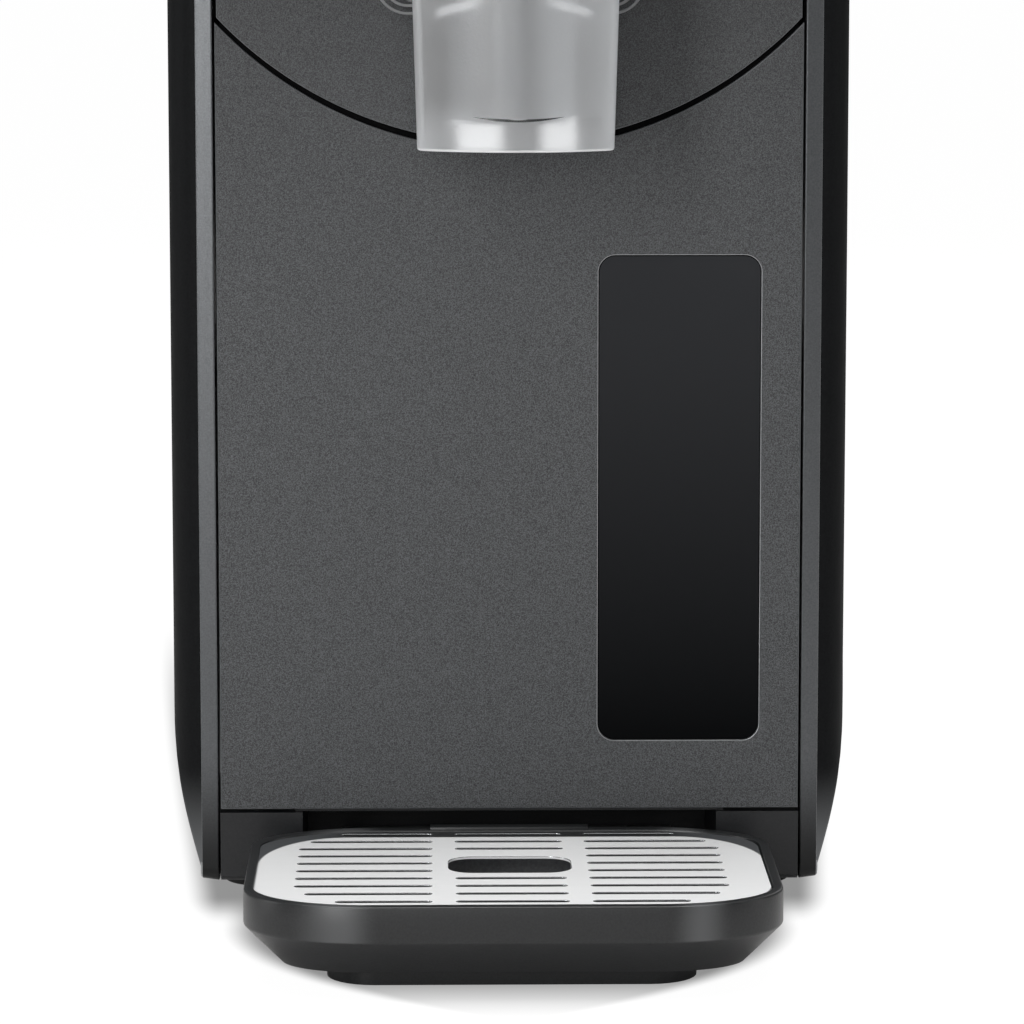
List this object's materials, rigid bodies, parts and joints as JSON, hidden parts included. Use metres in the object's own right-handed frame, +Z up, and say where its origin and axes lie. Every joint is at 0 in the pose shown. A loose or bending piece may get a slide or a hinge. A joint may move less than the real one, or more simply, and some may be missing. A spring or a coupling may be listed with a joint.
{
  "type": "slush machine",
  "caption": "Countertop slush machine with a clear drum tank, tap lever and spout in front, L-shaped black side panels and a drip tray with a slotted steel grille.",
  "frame": {"origin": "middle of the footprint, tray included, on the surface the machine stands on", "axes": "+X to the touch panel side (the right as seen from the front), -Y to the front, +Z up"},
  "size_m": [0.1766, 0.3964, 0.43],
  "materials": {
    "graphite": "fine metallic texture, satin",
    "black_plastic": "satin moulded black",
    "black_glass": "gloss black, light fades in at the top",
    "clear_plastic": "clear, polished",
    "pale_steel": "pale satin stainless",
    "steel": "satin",
    "white_plastic": "white moulded",
    "soft_seal": "soft translucent grey",
    "black_rubber": "matt",
    "black_steel": "semi-gloss black paint",
    "aluminium_fins": "bare",
    "copper": "bare copper tube",
    "circuit_board": "green board"
  },
  "bodies": {
    "housing": {"right_side_frame": "graphite", "left_side_frame": "graphite", "front_panel": "graphite", "upper_front_cover": "graphite", "tower_top_cover": "graphite", "right_side_panel": "black_plastic", "left_side_panel": "black_plastic", "plinth": "black_plastic", "tank_cradle": "black_plastic", "rear_cover": "black_plastic", "power_inlet": "black_plastic", "fan_shroud": "black_plastic", "fan_motor": "black_plastic", "tower_front_wall": "black_plastic", "base_pan": "black_plastic", "touch_panel": "black_glass", "evaporator_drum": "pale_steel", "button_spring": "steel", "motor_bracket": "steel", "gearbox": "steel", "rear_cover_screws": "steel", "shaft_bearing": "white_plastic", "tank_seal": "soft_seal", "feet": "black_rubber", "compressor_grommets": "black_rubber", "compressor": "black_steel", "drive_motor": "black_steel", "condenser": "aluminium_fins", "suction_line": "copper", "discharge_line": "copper", "filter_drier": "copper", "control_board": "circuit_board", "power_board": "circuit_board"},
    "tank": {"tank": "clear_plastic", "tap_body": "clear_plastic", "lid_hinge_pin": "steel", "spout_cover": "clear_plastic", "tap_cap": "black_plastic", "tap_pivot_pin": "steel", "valve_spring": "steel"},
    "lid": {"fill_lid": "clear_plastic", "lid_seal": "soft_seal"},
    "lever": {"tap_lever": "black_plastic"},
    "plunger": {"valve_plunger": "white_plastic", "plunger_seals": "soft_seal"},
    "stirrer": {"auger": "white_plastic", "drive_shaft": "steel"},
    "fan": {"fan_rotor": "black_plastic"},
    "tray": {"drip_tray": "black_plastic"},
    "grille": {"drip_grille": "pale_steel"},
    "button": {"release_button": "black_plastic"}
  },
  "joints": [
    {"name": "tank_slide", "type": "slide", "parent": "housing", "child": "tank", "axis": [0, -1, 0], "range_m": [0, 0.2]},
    {"name": "lid_hinge", "type": "hinge", "parent": "tank", "child": "lid", "pos_m": [0, -0.01175, 0.4062], "axis": [-1, 0, 0], "range_deg": [0, 100]},
    {"name": "lever_hinge", "type": "hinge", "parent": "tank", "child": "lever", "pos_m": [0, -0.11975, 0.334], "axis": [-1, 0, 0], "range_deg": [0, 30], "stiffness_Nm_per_rad": 0.35},
    {"name": "plunger_slide", "type": "slide", "parent": "tank", "child": "plunger", "axis": [0, 0, 1], "range_m": [0, 0.0115], "stiffness_N_per_m": 60, "deforming": ["valve_spring"]},
    {"name": "stirrer_spin", "type": "hinge", "parent": "housing", "child": "stirrer", "pos_m": [0, -0.00175, 0.304], "axis": [0, 1, 0], "continuous": true},
    {"name": "fan_spin", "type": "hinge", "parent": "housing", "child": "fan", "pos_m": [-0.0456, 0.01925, 0.076], "axis": [1, 0, 0], "continuous": true},
    {"name": "tray_slide", "type": "slide", "parent": "housing", "child": "tray", "axis": [0, -1, 0], "range_m": [0, 0.12]},
    {"name": "grille_lift", "type": "slide", "parent": "tray", "child": "grille", "axis": [0, 0, 1], "range_m": [0, 0.03]},
    {"name": "button_press", "type": "slide", "parent": "housing", "child": "button", "axis": [0, 0, -1], "range_m": [0, 0.0025], "stiffness_N_per_m": 300, "deforming": ["button_spring"]}
  ],
  "couplings": [
    {"joint": "plunger_slide", "follows": "lever_hinge", "m_per_rad": 0.02196}
  ]
}
